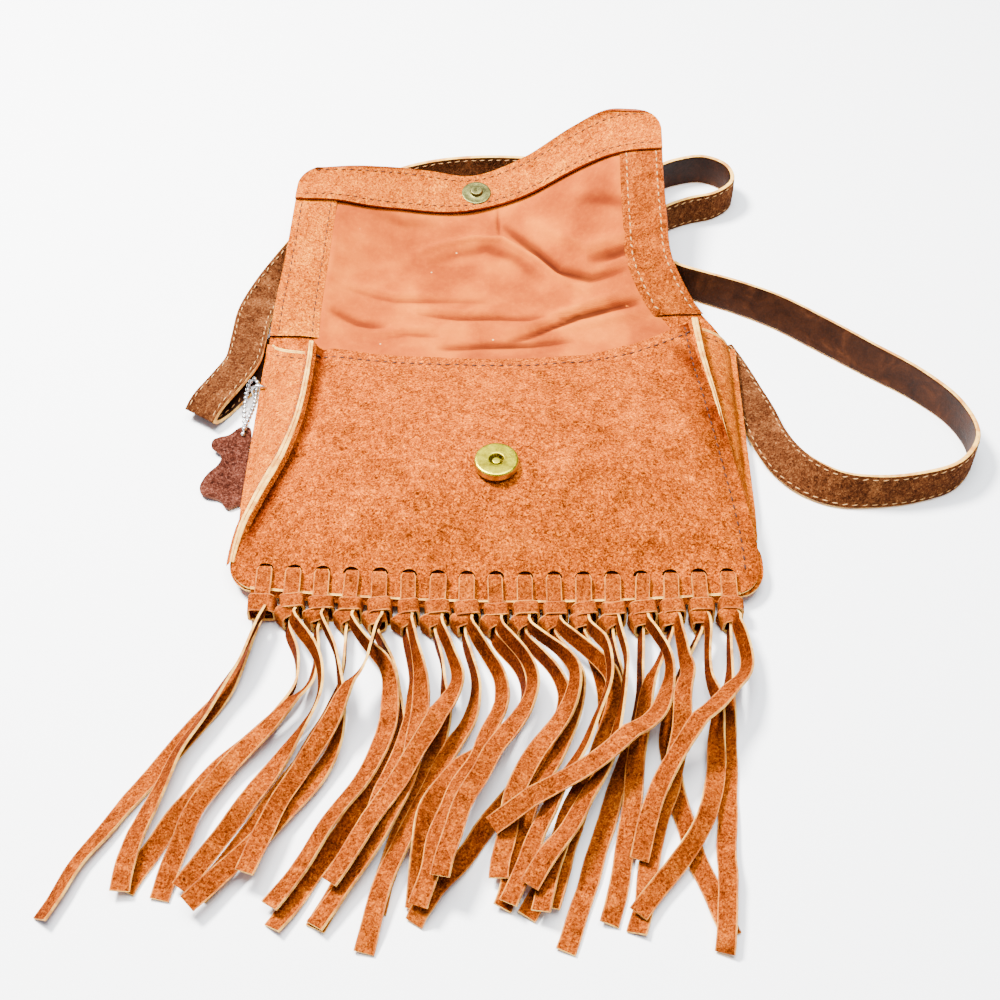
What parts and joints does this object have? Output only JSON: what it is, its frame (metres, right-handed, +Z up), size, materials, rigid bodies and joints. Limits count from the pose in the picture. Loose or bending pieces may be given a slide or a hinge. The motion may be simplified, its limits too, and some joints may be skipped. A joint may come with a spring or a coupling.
{
  "type": "fringed suede bag",
  "caption": "Small suede cross-body bag lying on its back with its flap thrown open, a knotted fringe along the bottom, a flat shoulder strap, a magnetic snap and a hide-shaped tag",
  "frame": {"origin": "on the flat outer face of the back panel, which rests on the ground, halfway between the bag's sides", "axes": "+Z up from the ground, +Y from the fringe to the flap's end, +X to the right seen from the fringe's end"},
  "size_m": [0.361, 0.4184, 0.0511],
  "materials": {
    "orange_suede": "mottled napped suede",
    "light_suede": "lighter suede, stitched at its edge",
    "cotton": "plain smooth cotton",
    "strap_leather": "dark smooth leather with a suede back and pale cut edges",
    "tag_suede": "brown suede",
    "brass": "antique brass plate",
    "steel": "nickel plate"
  },
  "bodies": {
    "root": {"front_panel": "orange_suede", "back_panel_and_flap": "orange_suede", "left_gusset": "orange_suede", "right_gusset": "orange_suede", "flap_end_band": "light_suede", "flap_left_band": "light_suede", "flap_right_band": "light_suede", "lining": "cotton", "snap_socket": "brass", "snap_socket_washer": "steel", "snap_stud": "brass", "fringe_01": "orange_suede", "fringe_02": "orange_suede", "fringe_03": "orange_suede", "fringe_04": "orange_suede", "fringe_05": "orange_suede", "fringe_06": "orange_suede", "fringe_07": "orange_suede", "fringe_08": "orange_suede", "fringe_09": "orange_suede", "fringe_10": "orange_suede", "fringe_11": "orange_suede", "fringe_12": "orange_suede", "fringe_13": "orange_suede", "fringe_14": "orange_suede", "fringe_15": "orange_suede", "fringe_16": "orange_suede", "fringe_17": "orange_suede", "shoulder_strap": "strap_leather", "hide_tag": "tag_suede", "ball_chain": "steel", "chain_ring": "steel"}
  },
  "joints": []
}
